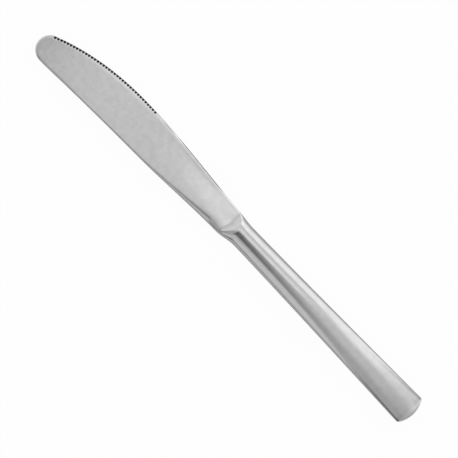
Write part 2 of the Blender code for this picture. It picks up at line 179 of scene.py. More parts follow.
# Places of the panels and gaps, as directions from the knife. A reach runs along it, from -1 behind
# the butt to 1 ahead of the tip. A lean is in degrees from straight up, and positive towards the
# cutting edge. Two values are the start and end of a soft change; three are the ends of a window
# and their softness.
OVERHEAD_REACH = (-0.06, 0.06)
OVERHEAD_LEAN = (-18.0, 1.0)
SPINE_REACH = (-0.005, 0.045)
SPINE_LEAN = (-35.0, -26.0)
SPINE_BEND_REACH = (-0.17, -0.02)
SPINE_BEND_MIDDLE = -0.07
SPINE_FAR_REACH = (-0.139, -0.099)
SPINE_FAR_LEAN = (-55.0, -32.0)
SPINE_HORIZON_LEAN = (-95.0, -65.0)
STRIP_BACK_REACH = (-0.099, -0.091)
STRIP_FRONT_REACH = (0.200, 0.300)
STRIP_BLADE_REACH = (0.0, 0.03)
STRIP_SLANT_REACH = 0.07
STRIP_NEAR_LEAN = (9.5, 17.5)
STRIP_FAR_LEAN = (18.0, 37.0)
SIDE_HEEL_REACH = (0.014, 0.052, 0.010)
SIDE_SLANT_REACH = (-0.20, -0.02)
SIDE_KINK_REACH = (-0.13, -0.09)
SIDE_LEAN = (41.6, 53.3)
FAR_REACH = (-0.280, -0.1615, 0.0225)
FAR_LEAN = (-8.0, 18.0)
FAR_RIM_LEAN = (35.0, 70.0)
RIM_REACH = (-0.175, -0.136, 0.010)
RIM_LEAN = (20.0, 50.0)
HORIZON_LEAN = (60.0, 90.0)
CAMERA_BACK_REACH = (-0.140, 0.025)
CAMERA_FRONT_REACH = (0.028, 0.058)
CAMERA_SPINE_LEAN = (-31.0, -21.0)
CAMERA_EDGE_LEAN = (-4.0, 11.9)
BUTT_RIM_REACH = (-0.260, -0.187, 0.006)
TIP_REACH = (0.186, 0.260, 0.026)
TIP_LEAN = (-30.0, 9.0, 4.0)
FOOT_REACH = (0.26, 0.50, 0.06)
CREST_REACH = (0.65, 0.95)
END_REACH = (0.35, 0.60)
END_SIDE_ACROSS = (0.45, 0.75)
BUTT_END_REACH = (0.25, 0.35)
BUTT_END_LEAN = (20.0, 40.0)

# How the borders of the panels slant and bend: degrees of lean by the reach, or by its square
SPINE_BEND = 5500.0
STRIP_SLANT = 114.0
STRIP_BLADE_SLANT = 110.0
SIDE_SLANT = 185.0
SIDE_KINK = 200.0


def size(name, description, default):
    """Length that a user can change."""
    return FloatProperty(
        name=name, description=description, default=default, min=0.0, unit="LENGTH", precision=5
    )


def share(name, description, default):
    """Plain number that a user can change."""
    return FloatProperty(name=name, description=description, default=default, precision=4)


def angle(name, description, default):
    """Angle that a user can change, given in degrees."""
    return FloatProperty(
        name=name, description=description, default=math.radians(default), subtype="ANGLE"
    )


def colour(name, description, default):
    """Colour that a user can change."""
    return FloatVectorProperty(
        name=name, description=description, default=default, size=3, min=0.0, max=1.0, subtype="COLOR"
    )


class HandleSizes(bpy.types.PropertyGroup):
    """Hollow handle of two pressed half shells."""

    length: size("Length", "Joint face to butt", JOINT.x - shell_low.x)
    neck_width: size("Neck width", "Width at the joint face", 0.0100)
    neck_thickness: size("Neck thickness", "Thickness at the joint face", blade_high.z - blade_low.z)
    butt_width: size("Butt width", "Width at the butt", 0.0133)
    butt_thickness: size("Butt thickness", "Thickness at the butt", 0.0048)
    butt_radius: size("Butt radius", "Round of the butt in plan", 0.0123)
    rim_radius: size("Rim radius", "Round of the rim at the butt", 0.0004)
    taper: share("Taper", "1 is a straight taper in plan, more is a waisted one", 1.35)
    wall: size("Wall", "Thickness of the pressed shells", 0.0007)
    butt_wall: size("Butt wall", "Thickness of the shells at the butt", 0.0010)
    seam_height: size("Seam height", "Thickness of the solder between the shells", 0.0005)
    neck_fullness: share("Neck fullness", "2 is an oval crown, more is flatter", 2.0)
    butt_fullness: share("Butt fullness", "2 is an oval crown, more is flatter", 5.0)


class TangSizes(bpy.types.PropertyGroup):
    """Keyed tang inside the handle."""

    length: size("Length", "Joint face to the end of the tang", JOINT.x - blade_low.x)
    root_margin: size("Root margin", "Shell wall and cement beside the root of the tang", 0.0019)
    end_width: size("End width", "Width at the end", 0.0044)
    end_thickness: size("End thickness", "Thickness at the end", 0.0024)
    fullness: share("Fullness", "2 is an oval section, more is squarer", 3.0)
    keys: IntProperty(name="Keys", description="Notches that the cement grips", default=3, min=0)
    key_length: size("Key length", "Length of a notch", 0.0040)
    key_depth: size("Key depth", "Depth of a notch", 0.0008)


class BladeSizes(bpy.types.PropertyGroup):
    """Outline, forged blank and ground faces of the blade."""

    length: size("Length", "Joint face to tip", 0.1100)
    shoulder_distance: size("Shoulder distance", "Joint face to the end of the spine's flare", 0.0090)
    shoulder_offset: size("Shoulder offset", "Spine from the axis at the shoulder", 0.00627)
    shoulder_slope: share("Shoulder slope", "Run of the spine away from the axis at the shoulder", 0.015)
    middle_distance: size("Middle distance", "Joint face to the middle of the spine", 0.0520)
    middle_offset: size("Middle offset", "Spine from the axis at its middle", 0.00817)
    middle_slope: share("Middle slope", "Run of the spine away from the axis at its middle", 0.020)
    fore_tip_gap: size("Fore gap", "Fore part of the spine to the tip", 0.0180)
    fore_drop: size("Fore drop", "Spine at its fore part below its highest place", 0.00049)
    fore_slope: share("Fore slope", "Run of the spine away from the axis at its fore part", 0.046)
    spine_tip_offset: size("Spine tip offset", "Spine from the axis at the tip", 0.00993)
    heel_distance: size("Heel distance", "Joint face to the end of the edge's flare", 0.0080)
    heel_offset: size("Heel offset", "Edge from the axis at the heel", 0.00565)
    heel_slope: share("Heel slope", "Run of the edge away from the axis at the heel", 0.058)
    belly_distance: size("Belly distance", "Joint face to the widest place", 0.0630)
    belly_offset: size("Belly offset", "Edge from the axis at the widest place", 0.00905)
    tip_radius: size("Tip radius", "Round of the tip in plan", 0.0057)
    tip_slope: share("Tip slope", "Run of the edge towards the axis where the tip begins", 0.41)
    blank_thickness: size("Blank thickness", "Forged blank ahead of the bolster", 0.0044)
    fade_start: size("Fade start", "Joint face to where the bolster begins to thin", 0.0025)
    fade_end: size("Fade end", "Joint face to where the bolster has thinned", 0.0145)
    edge_thickness: size("Edge thickness", "Ground blade at the widest place of the edge", 0.0006)
    face_slope: share("Face slope", "Rise of each face from edge to spine", 0.0205)
    distal_taper: share("Distal taper", "Fall of each face towards the tip", 0.0030)
    flat_distance: size("Flat distance", "Joint face to where the faces are flat", 0.0550)
    heel_swell: size("Heel swell", "Extra half thickness of the spine at the heel", 0.00196)
    swell_power: share("Swell power", "How late the faces swell towards the heel", 1.6)
    crown_start: share("Crown start", "Share of the width where the faces begin to round to the spine", 0.33)
    swell_crown: share("Swell crown", "How far the faces round towards the spine at the heel", 1.05)
    grind_blend: size("Grind blend", "Height over which a flat face rounds into the spine", 0.0003)
    heel_blend: size("Heel blend", "Height over which a face rounds into the spine at the heel", 0.0005)
    tip_blend: size("Tip blend", "Extra height of that rounding near the tip", 0.0005)
    tip_blend_start: size("Tip blend start", "Joint face to where that extra begins", 0.0780)
    tip_blend_length: size("Tip blend length", "Length over which that extra grows", 0.0220)
    runout_distance: size("Run-out distance", "Joint face to where the faces begin to climb", 0.0090)
    runout_shortest: size("Shortest run-out", "Least length of the climb", 0.0015)
    runout_hollow: share("Run-out hollow", "Share of the climb that is hollow, before it is straight", 0.68)
    crest_distance: size("Crest distance", "Joint face to the point of the crest", 0.0039)
    crest_spine_slope: share("Crest slope, spine", "Run of the crest towards the spine", 0.95)
    crest_edge_slope: share("Crest slope, edge", "Run of the crest towards the edge", 0.30)
    crest_round: size("Crest round", "Rounding of the point of the crest", 0.0008)
    crest_blend: size("Crest blend", "Rounding where the crest meets the spine", 0.0012)


class EdgeSizes(bpy.types.PropertyGroup):
    """Cutting edge and its row of gullets."""

    land: size("Land", "Least thickness on the outline", 0.00005)
    bevel_width: size("Bevel width", "Width of the bevel that is ground from above", 0.0007)
    bevel_foot: size("Bevel foot", "Foot of the bevel above the mid-plane", 0.00014)
    wall_width: size("Wall width", "Width of the steep wall below the bevel of the serration", 0.0003)
    bevel_slope: share("Bevel slope", "Fall of the bevel over its width where the edge is thick", 0.62)
    plain_bevel_width: size("Plain bevel width", "Width of the bevel on the plain edge", 0.00048)
    plain_wall_width: size("Plain wall width", "Width of the steep wall on the plain edge", 0.00026)
    plain_end: size("Plain edge end", "Joint face to where the plain edge's wall begins to run out", 0.0400)
    plain_fade: size("Plain edge fade", "Length over which that wall runs out", 0.0100)
    serrated_fade: size("Serrated fade", "Length over which the wall of the serration begins", 0.0060)
    burr_height: size("Burr height", "Outline of the edge below the mid-plane", 0.0003)
    hollow_width: size("Hollow width", "Width of the shallow hollow along the edge at the heel", 0.0030)
    hollow_depth: size("Hollow depth", "Rise of that hollow at the edge", 0.00010)
    roll_width: size("Roll width", "Width over which the faces roll off to the serrated edge", 0.0020)
    roll_depth: size("Roll depth", "Fall of that roll at the edge", 0.00018)
    bevel_start: size("Bevel start", "Joint face to where the bevel begins", 0.0060)
    bevel_fade: size("Bevel fade", "Length over which the bevel begins", 0.0030)
    wall_start: size("Wall start", "Joint face to where the wall below the bevel begins", 0.0160)
    wall_fade: size("Wall fade", "Length over which the wall below the bevel begins", 0.0050)
    gullet_start: size("Gullet start", "Joint face to the first gullet", 0.0585)
    gullet_tip_gap: size("Gullet tip gap", "Last gullet to the tip", 0.0034)
    gullet_pitch: size("Gullet pitch", "Spacing along the edge", 0.00136)
    gullet_radius: size("Gullet radius", "Radius of the grinding wheel", 0.00085)
    gullet_reach: size("Gullet reach", "Length of a gullet inward of the outline", 0.00092)
    gullet_growth: share("Gullet growth", "How much longer the gullets are at the tip", 0.25)
    gullet_drop: size("Gullet drop", "Floor of a gullet below the mid-plane at the outline", 0.00029)


class FinishLooks(bpy.types.PropertyGroup):
    """Colours and textures of the finishes."""

    steel: colour("Steel", "Satin stainless steel", (0.51, 0.51, 0.51))
    # Painted shade: this near-black colour stands in for the shade inside the gullets and on the edge's
    # wall, not for the steel's own colour
    gullet: colour("Gullet steel", "Unpolished steel in the gullets", (0.02, 0.02, 0.02))
    solder: colour("Solder", "Ground solder of the seam", (0.50, 0.50, 0.50))
    cement: colour("Cement", "Set filler round the tang", (0.62, 0.59, 0.53))
    rim_tint: share("Rim tint", "Reflection of the steel near its silhouette", 0.5)
    blade_roughness: share("Blade roughness", "Satin of the ground faces", 0.12)
    handle_roughness: share("Handle roughness", "Satin of the handle", 0.07)
    gullet_roughness: share("Gullet roughness", "Satin of the gullets and of the edge's wall", 0.5)
    solder_roughness: share("Solder roughness", "Satin of the ground seam", 0.32)
    blade_clouds: share("Blade clouds", "How far the satin of the blade varies in shade", 0.30)
    handle_clouds: share("Handle clouds", "How far the satin of the handle varies in shade", 0.20)
    gullet_clouds: share("Gullet clouds", "How far the steel in the gullets varies in shade", 0.30)
    solder_clouds: share("Solder clouds", "How far the ground seam varies in shade", 0.08)
    blade_relief: size("Blade relief", "Height of the waves that buffing leaves on the blade", 0.000015)
    relief: size("Relief", "Height of those waves on the other pieces of metal", 0.000010)
    grain_pitch: size("Grain pitch", "Spacing of the fine polishing lines", 0.00022)
    cloud_size: size("Cloud size", "Size of the faint clouds in the satin", 0.0025)
    buff_size: size("Buff size", "Size of the faint waves that buffing leaves", 0.0014)


class StageLooks(bpy.types.PropertyGroup):
    """Camera, floor and soft light."""

    camera_height: size("Camera height", "Camera above the knife's mid-plane", 0.5500)
    picture_width: size("Picture width", "Width of the picture at the mid-plane", 0.17782)
    centre_along: size("Centre along", "Joint face to the middle of the picture", 0.006035)
    centre_across: size("Centre across", "Axis to the middle of the picture", 0.002012)
    knife_angle: angle("Knife angle", "Slant of the handle in the picture", 46.31)
    floor_radius: size("Floor radius", "Reach of the floor", 4.0)
    floor: colour("Floor", "White studio floor", (0.80, 0.80, 0.80))
    floor_glow: share("Floor glow", "How far the floor's white is kept from the knife's shadow", 0.96)
    floor_sheen: share("Floor sheen", "How far the metal shows that white", 0.15)
    light: share("Light", "Strength of the studio light", 1.1)


class KnifeLooks(bpy.types.PropertyGroup):
    """All settings of the knife."""

    handle: PointerProperty(type=HandleSizes)
    tang: PointerProperty(type=TangSizes)
    blade: PointerProperty(type=BladeSizes)
    edge: PointerProperty(type=EdgeSizes)
    finish: PointerProperty(type=FinishLooks)
    stage: PointerProperty(type=StageLooks)


def mix(start, end, part):
    """Straight blend from start to end."""
    return start + (end - start) * part


def smooth_step(part):
    """Blend that leaves 0 and reaches 1 without a kink, clamped outside."""
    part = min(max(part, 0.0), 1.0)
    return part * part * (3.0 - 2.0 * part)


def smooth_min(first, second, blend):
    """Smaller of two heights, with the crossing rounded over the given height."""
    overlap = max(blend - abs(first - second), 0.0) / blend
    return min(first, second) - overlap * overlap * blend / 4.0


def hermite(x, start, end):
    """Cubic through two points, each given as distance, offset and slope."""
    span = end[0] - start[0]
    part = (x - start[0]) / span
    square = part * part
    cube = square * part
    return (
        (2.0 * cube - 3.0 * square + 1.0) * start[1]
        + (cube - 2.0 * square + part) * span * start[2]
        + (3.0 * square - 2.0 * cube) * end[1]
        + (cube - square) * span * end[2]
    )


def curve_y(x, curve):
    """Offset of a curve of cubics through points, each given as distance, offset and slope."""
    for start, end in zip(curve, curve[1:]):
        if x <= end[0]:
            return hermite(x, start, end)
    raise ValueError("beyond the curve")


def steps(start, end, count):
    """Evenly spaced values from start to end, both included."""
    return [mix(start, end, index / count) for index in range(count + 1)]


def new_mesh(name, finish):
    """Empty mesh with one finish."""
    mesh = bpy.data.meshes.new(name)
    mesh.materials.append(finish)
    return mesh


@contextmanager
def editing(mesh):
    """Editable form of a mesh, which is written back at the end."""
    bm = bmesh.new()
    bm.from_mesh(mesh)
    yield bm
    bm.to_mesh(mesh)
    bm.free()


def add_object(name, data):
    """New object in the scene."""
    item = bpy.data.objects.new(name, data)
    bpy.context.scene.collection.objects.link(item)
    return item


def mirrored_ring(upper):
    """Ring of upper points and the same points below the mid-plane, in reverse."""
    lower = [(x, y, -z) for x, y, z in reversed(upper)]
    return upper + lower


def loft(name, rings, finish):
    """Closed mesh through rings that list their upper points and then their lower points back."""
    mesh = new_mesh(name, finish)
    count = len(rings[0])
    with editing(mesh) as bm:
        rows = [[bm.verts.new(point) for point in ring] for ring in rings]
        for row, following in zip(rows, rows[1:]):
            for index in range(count):
                after = (index + 1) % count
                bm.faces.new((row[index], row[after], following[after], following[index]))
        for row in (rows[0], rows[-1]):
            for index in range(count // 2 - 1):
                bm.faces.new((row[index], row[index + 1], row[-2 - index], row[-1 - index]))
        bmesh.ops.recalc_face_normals(bm, faces=bm.faces)
    return mesh


class HandleForm:
    """Surfaces of the handle."""

    def __init__(self, sizes):
        self.sizes = sizes

    def half_width(self, x, inset):
        """Half width of the tapered handle, or of a surface set in from it."""
        sizes = self.sizes
        part = max(-x / sizes.length, 0.0) ** sizes.taper
        return mix(sizes.neck_width, sizes.butt_width, part) / 2.0 - inset

    def point(self, x, y, inset):
        """Point on the upper surface, or on a surface set in from it."""
        sizes = self.sizes
        part = -x / sizes.length
        half_thickness = mix(sizes.neck_thickness, sizes.butt_thickness, part) / 2.0 - inset
        fullness = mix(sizes.neck_fullness, sizes.butt_fullness, part * part)
        across = min(abs(y) / self.half_width(x, inset), 1.0)
        height = half_thickness * (1.0 - across * across) ** (1.0 / fullness)
        return (x, y, max(height, sizes.seam_height / SEAM_PARTS))

    def section(self, x, inset):
        """Section square to the axis."""
        half_width = self.half_width(x, inset)
        turns = steps(0.0, math.pi, HANDLE_POINTS)
        return mirrored_ring([self.point(x, half_width * math.cos(turn), inset) for turn in turns])

    def butt_x(self, y, inset):
        """Round end in plan, or the end of a surface set in from it."""
        radius = self.sizes.butt_radius - inset
        return self.sizes.butt_radius - self.sizes.length - math.sqrt(radius * radius - y * y)

    def butt_corner(self, side_inset, end_inset):
        """Half width where the tapered side meets the round end."""
        half_width = self.half_width(-self.sizes.length, side_inset)
        for _ in range(SETTLE_ROUNDS):
            half_width = self.half_width(self.butt_x(half_width, end_inset), side_inset)
        return half_width

    def butt_section(self, side_inset, end_inset):
        """Last section, bent to the round end."""
        corner = self.butt_corner(side_inset, end_inset)
        offsets = [corner * math.cos(turn) for turn in steps(0.0, math.pi, HANDLE_POINTS)]
        return mirrored_ring([self.point(self.butt_x(y, end_inset), y, side_inset) for y in offsets])

    def sections(self, start, side_inset, end_inset):
        """Sections from start to the butt."""
        end = self.butt_x(self.butt_corner(side_inset, end_inset), end_inset)
        stations = steps(start, end, HANDLE_STATIONS)[:-1]
        return [self.section(x, side_inset) for x in stations]

    def body(self):
        """Sections of the outside, with the rim of the butt rounded."""
        radius = self.sizes.rim_radius
        rings = self.sections(-HAIRLINE, 0.0, radius)
        for turn in steps(0.0, math.pi / 2.0, RIM_STEPS):
            side_inset = radius * (1.0 - math.cos(turn))
            end_inset = radius * (1.0 - math.sin(turn))
            rings.append(self.butt_section(side_inset, end_inset))
        return rings

    def cavity(self):
        """Sections of the hollow, starting outside the mouth."""
        wall = self.sizes.wall
        butt_wall = self.sizes.butt_wall
        return self.sections(CUTTER_MARGIN, wall, butt_wall) + [self.butt_section(wall, butt_wall)]


class BladeForm:
    """Surfaces of the forging: blade, bolster and tang."""

    def __init__(self, looks):
        self.handle = looks.handle
        self.tang = looks.tang
        self.sizes = looks.blade
        self.edge = looks.edge
        self.tip_x = self.sizes.length - self.sizes.tip_radius
        self.tip_y = self.sizes.spine_tip_offset - self.sizes.tip_radius
        turn = math.atan(self.sizes.tip_slope)
        self.tip_start_x = self.tip_x + self.sizes.tip_radius * math.sin(turn)
        self.tip_start_y = self.tip_y - self.sizes.tip_radius * math.cos(turn)

    def tip_reach(self, x):
        """Half chord of the round tip at a distance along the blade."""
        ahead = x - self.tip_x
        return math.sqrt(max(self.sizes.tip_radius ** 2 - ahead * ahead, 0.0))

    def spine_y(self, x):
        """Spine side of the outline, from the joint face to the tip."""
        if x > self.tip_x:
            return self.tip_y + self.tip_reach(x)
        sizes = self.sizes
        neck = (0.0, self.handle.neck_width / 2.0, 0.0)
        shoulder = (sizes.shoulder_distance, sizes.shoulder_offset, sizes.shoulder_slope)
        middle = (sizes.middle_distance, sizes.middle_offset, sizes.middle_slope)
        fore_offset = sizes.spine_tip_offset - sizes.fore_drop
        fore = (sizes.length - sizes.fore_tip_gap, fore_offset, sizes.fore_slope)
        tip = (self.tip_x, sizes.spine_tip_offset, 0.0)
        return curve_y(x, [neck, shoulder, middle, fore, tip])

    def edge_y(self, x):
        """Cutting side of the outline, from the joint face to the tip."""
        if x > self.tip_start_x:
            return self.tip_y - self.tip_reach(x)
        sizes = self.sizes
        neck = (0.0, self.handle.neck_width / 2.0, 0.0)
        heel = (sizes.heel_distance, sizes.heel_offset, sizes.heel_slope)
        belly = (sizes.belly_distance, sizes.belly_offset, 0.0)
        tip = (self.tip_start_x, -self.tip_start_y, -sizes.tip_slope)
        return -curve_y(x, [neck, heel, belly, tip])

    def across_share(self, x, y):
        """0 on the middle of the outline and 1 on its border."""
        if x > self.tip_x:
            return math.hypot(x - self.tip_x, y - self.tip_y) / self.sizes.tip_radius
        middle = (self.spine_y(x) + self.edge_y(x)) / 2.0
        return abs(y - middle) / (self.spine_y(x) - middle)

    def skin_height(self, x, y):
        """Half thickness of the forged blank: the oval of the neck, thinning to a rounded plate."""
        sizes = self.sizes
        fade = smooth_step((x - sizes.fade_start) / (sizes.fade_end - sizes.fade_start))
        across = min(self.across_share(x, y), 1.0)
        crown = mix(self.handle.neck_thickness, sizes.blank_thickness, fade) / 2.0
        return crown * (1.0 - across * across) ** (1.0 / self.handle.neck_fullness)

    def face_height(self, x, y):
        """Half thickness that the grinding leaves: flat in front, thicker towards the heel."""
        sizes = self.sizes
        rise = sizes.face_slope * (y + sizes.belly_offset)
        height = sizes.edge_thickness / 2.0 + rise
        height -= sizes.distal_taper * (x - sizes.belly_distance)
        if x < sizes.flat_distance:
            reach = (sizes.flat_distance - x) / (sizes.flat_distance - sizes.heel_distance)
            part = (y - self.edge_y(x)) / (self.spine_y(x) - self.edge_y(x))
            part -= sizes.swell_crown * max(part - sizes.crown_start, 0.0) ** 2
            height += sizes.heel_swell * reach ** sizes.swell_power * part
        return height

    def crest_x(self, y):
        """Crest of the bolster in plan: a rounded V that points back along the handle."""
        sizes = self.sizes
        slope = sizes.crest_spine_slope if y > 0.0 else sizes.crest_edge_slope
        crest = sizes.crest_distance + slope * (math.hypot(y, sizes.crest_round) - sizes.crest_round)
        return smooth_min(crest, sizes.runout_distance - sizes.runout_shortest, sizes.crest_blend)

    def runout_share(self, x, y):
        """0 on the ground faces and 1 from the crest back, with a long hollow foot."""
        runout = self.sizes.runout_distance
        climb = (runout - x) / (runout - self.crest_x(y))
        climb = min(max(climb, 0.0), 1.0)
        hollow = self.sizes.runout_hollow
        foot = min(climb, hollow)
        rise = foot ** 3 / (3.0 * hollow * hollow) + climb - foot
        return rise / (1.0 - 2.0 * hollow / 3.0)

    def ground_height(self, x, inward):
        """Half thickness of the ground blade at a distance inward of the edge."""
        sizes = self.sizes
        y = self.edge_y(x) + inward
        reach = (sizes.flat_distance - x) / (sizes.flat_distance - sizes.heel_distance)
        blend = mix(sizes.grind_blend, sizes.heel_blend, min(max(reach, 0.0), 1.0))
        blend += sizes.tip_blend * smooth_step((x - sizes.tip_blend_start) / sizes.tip_blend_length)
        height = smooth_min(self.skin_height(x, y), self.face_height(x, y), blend)
        return height + self.edge_rise(inward, reach)

    def heights(self, x, y):
        """Upper and lower surface of the finished forging ahead of the joint face."""
        edge = self.edge
        inward = max(y - self.edge_y(x), 0.0)
        upper = self.ground_height(x, inward)
        lower = -upper
        width = self.bevel_width(x)
        if inward < width:
            depth = smooth_step((x - edge.bevel_start) / edge.bevel_fade)
            crease = self.ground_height(x, width)
            upper = mix(upper, min(upper, self.bevel_height(x, inward, crease)), depth)
            burr = mix(-edge.burr_height, -crease, inward / width)
            lower = mix(lower, burr, depth)
        skin = self.skin_height(x, y)
        climb = self.runout_share(x, y)
        upper = mix(upper, skin, climb)
        lower = mix(lower, -skin, climb)
        spare = max(edge.land - (upper - lower), 0.0) / 2.0
        return upper + spare, lower - spare

    def edge_rise(self, inward, reach):
        """Shallow hollow along the edge at the heel, and roll-off to the edge in front."""
        edge = self.edge
        if reach > 0.0:
            part = max(1.0 - inward / edge.hollow_width, 0.0)
            return edge.hollow_depth * part * part * smooth_step(HOLLOW_FADE * reach)
        part = max(1.0 - inward / edge.roll_width, 0.0)
        return -edge.roll_depth * part * part * smooth_step(-ROLL_FADE * reach)

    def wall_share(self, x):
        """0 at the heel and 1 where the steep wall below the bevel is whole."""
        return smooth_step((x - self.edge.wall_start) / self.edge.wall_fade)

    def plain_share(self, x):
        """1 on the plain edge between the heel and the serration, and 0 on those."""
        return self.wall_share(x) * (1.0 - smooth_step((x - self.edge.plain_end) / self.edge.plain_fade))

    def bevel_width(self, x):
        """Width of the bevel with its wall, which is finer on the plain edge."""
        return mix(self.edge.bevel_width, self.edge.plain_bevel_width, self.plain_share(x))

    def wall_width(self, x):
        """Width of the steep wall below the bevel, which runs out before the serration."""
        edge = self.edge
        ahead = x - edge.plain_end - edge.plain_fade
        serrated = edge.wall_width * smooth_step(ahead / edge.serrated_fade)
        return edge.plain_wall_width * self.plain_share(x) + serrated

    def bevel_height(self, x, inward, crease):
        """Upper surface of the bevel, and of the steep wall from its foot to the outline."""
        edge = self.edge
        wall = self.wall_width(x)
        width = self.bevel_width(x)
        foot = max(edge.bevel_foot, crease - edge.bevel_slope * (width - wall))
        if inward >= wall:
            return mix(foot, crease, (inward - wall) / (width - wall))
        return mix(edge.land - edge.burr_height, foot, inward / wall)

    def offsets(self, x):
        """Points across the blade, close together on the round spine and on the edge bevel."""
        spine = self.spine_y(x)
        edge = self.edge_y(x)
        spine_zone = min(SPINE_ZONE, (spine - edge) / SPINE_ZONE_PARTS)
        edge_zone = min(self.bevel_width(x), (spine - edge) / EDGE_ZONE_PARTS)
        rounding = [spine - spine_zone * part * part for part in steps(0.0, 1.0, SPINE_POINTS)]
        face = steps(spine - spine_zone, edge + edge_zone, FACE_POINTS)
        wall_zone = edge_zone * max(self.wall_width(x) / self.bevel_width(x), WALL_LEAST)
        bevel = steps(edge + edge_zone, edge + wall_zone, BEVEL_POINTS)
        wall = steps(edge + wall_zone, edge, BEVEL_POINTS)
        return rounding + face[1:-1] + bevel + wall[1:]

    def ring(self, places):
        """Ring of the upper surface over places in plan, and of the lower surface back."""
        heights = [self.heights(x, y) for x, y in places]
        upper = [(x, y, high) for (x, y), (high, low) in zip(places, heights)]
        lower = [(x, y, low) for (x, y), (high, low) in zip(places, heights)]
        return upper + lower[::-1]

    def section(self, x):
        """Section square to the axis."""
        return self.ring([(x, y) for y in self.offsets(x)])

    def runout_section(self, part):
        """Section that follows the crest: 0 is square behind it, 1 on it and 2 square ahead of it."""
        sizes = self.sizes
        places = []
        for index in range(len(self.offsets(sizes.runout_distance))):
            x = sizes.runout_distance
            for _ in range(SETTLE_ROUNDS):
                y = self.offsets(x)[index]
                if part < 1.0:
                    x = mix(sizes.crest_distance / 2.0, self.crest_x(y), part)
                else:
                    x = mix(self.crest_x(y), sizes.runout_distance, part - 1.0)
            places.append((x, y))
        return self.ring(places)

    def blade_sections(self):
        """Sections from the joint face to the tip."""
        sizes = self.sizes
        rings = [self.section(x) for x in steps(0.0, sizes.crest_distance / 2.0, NECK_STATIONS)]
        rings += [self.runout_section(part) for part in steps(0.0, 1.0, CREST_STATIONS)[1:]]
        rings += [self.runout_section(part) for part in steps(1.0, 2.0, RUNOUT_STATIONS)[1:]]
        for part in steps(0.0, 1.0, HEEL_STATIONS)[1:]:
            x = mix(sizes.runout_distance, sizes.flat_distance, part ** HEEL_CROWDING)
            rings.append(self.section(x))
        rings += [self.section(x) for x in steps(sizes.flat_distance, self.tip_x, FLAT_STATIONS)[1:]]
        for turn in steps(0.0, TIP_LAST_ANGLE, TIP_STATIONS)[1:]:
            rings.append(self.section(self.tip_x + sizes.tip_radius * math.sin(turn)))
        return rings

    def tang_sections(self):
        """Sections along the tang, from its end to the joint face, with the flanks of each key."""
        tang = self.tang
        pitch = tang.length / (tang.keys + 1)
        stations = [(-tang.length, 0.0)]
        for index in range(tang.keys):
            middle = -tang.length + pitch * (index + 1)
            reach = tang.key_length / 2.0
            stations.append((middle - reach, 0.0))
            stations.append((middle - reach + tang.key_depth, tang.key_depth))
            stations.append((middle + reach - tang.key_depth, tang.key_depth))
            stations.append((middle + reach, 0.0))
        stations.append((0.0, 0.0))
        return [self.tang_section(x, notch) for x, notch in stations]

    def tang_section(self, x, notch):
        """Flat-sided oval section of the tang."""
        tang = self.tang
        part = -x / tang.length
        root_width = self.handle.neck_width - 2.0 * tang.root_margin
        root_thickness = self.handle.neck_thickness - 2.0 * tang.root_margin
        half_width = mix(root_width, tang.end_width, part) / 2.0 - notch
        half_thickness = mix(root_thickness, tang.end_thickness, part) / 2.0
        upper = []
        for y in self.offsets(0.0):
            across = max(min(2.0 * y / self.handle.neck_width, 1.0), -1.0)
            height = half_thickness * (1.0 - across * across) ** (1.0 / tang.fullness)
            upper.append((x, half_width * across, max(height, half_thickness / TANG_RIM_PARTS)))
        return mirrored_ring(upper)

    def gullet_distances(self):
        """Distances of the gullets along the blade, evenly pitched along the curved edge."""
        edge = self.edge
        samples = steps(edge.gullet_start, self.sizes.length - edge.gullet_tip_gap, EDGE_SAMPLES)
        distances = [edge.gullet_start]
        travelled = 0.0
        for x, following in zip(samples, samples[1:]):
            travelled += math.hypot(following - x, self.edge_y(following) - self.edge_y(x))
            if travelled >= edge.gullet_pitch:
                travelled -= edge.gullet_pitch
                distances.append(following)
        return distances

    def gullet_places(self):
        """Place of each grinding wheel: slanted through the edge, leaving a thin lip below."""
        edge = self.edge
        probe = edge.gullet_pitch / SLOPE_PROBES
        up = Vector((0.0, 0.0, 1.0))
        for x in self.gullet_distances():
            part = (x - edge.gullet_start) / (self.sizes.length - edge.gullet_start)
            reach = edge.gullet_reach * (1.0 + edge.gullet_growth * part)
            tilt = math.atan2(self.ground_height(x, reach) + edge.gullet_drop, reach)
            slope = (self.edge_y(x + probe) - self.edge_y(x - probe)) / (2.0 * probe)
            outward = Vector((slope, -1.0, 0.0)).normalized()
            axis = math.cos(tilt) * outward - math.sin(tilt) * up
            lift = math.sin(tilt) * outward + math.cos(tilt) * up
            bottom = Vector((x, self.edge_y(x), -edge.gullet_drop))
            rotation = up.rotation_difference(axis).to_matrix().to_4x4()
            yield Matrix.Translation(bottom + edge.gullet_radius * lift) @ rotation


class Wire:
    """Output of a shader node, on which arithmetic adds Math nodes."""

    def __init__(self, graph, socket):
        self.graph = graph
        self.socket = socket

    def output(self, name):
        """Another output of the same node."""
        return Wire(self.graph, self.socket.node.outputs[name])

    def math(self, operation, first, second):
        """Math node on two values or wires."""
        return self.graph.add("ShaderNodeMath", {"operation": operation}, {0: first, 1: second})

    def __add__(self, other):
        return self.math("ADD", self, other)

    def __radd__(self, other):
        return self.math("ADD", other, self)

    def __sub__(self, other):
        return self.math("SUBTRACT", self, other)

    def __rsub__(self, other):
        return self.math("SUBTRACT", other, self)

    def __mul__(self, other):
        return self.math("MULTIPLY", self, other)

    def __rmul__(self, other):
        return self.math("MULTIPLY", other, self)

    def smooth(self, low, high):
        """0 up to low and 1 from high on, with a soft change between."""
        return self.graph.add(
            "ShaderNodeMapRange",
            {"interpolation_type": "SMOOTHSTEP"},
            {"Value": self, "From Min": low, "From Max": high},
        )

    def clamp(self, low, high):
        """Value held between low and high."""
        return self.graph.add("ShaderNodeClamp", {}, {"Value": self, "Min": low, "Max": high})

    def window(self, low, high, soft):
        """1 between low and high and 0 outside, with both ends softened."""
        return self.smooth(low - soft, low + soft) * (1.0 - self.smooth(high - soft, high + soft))


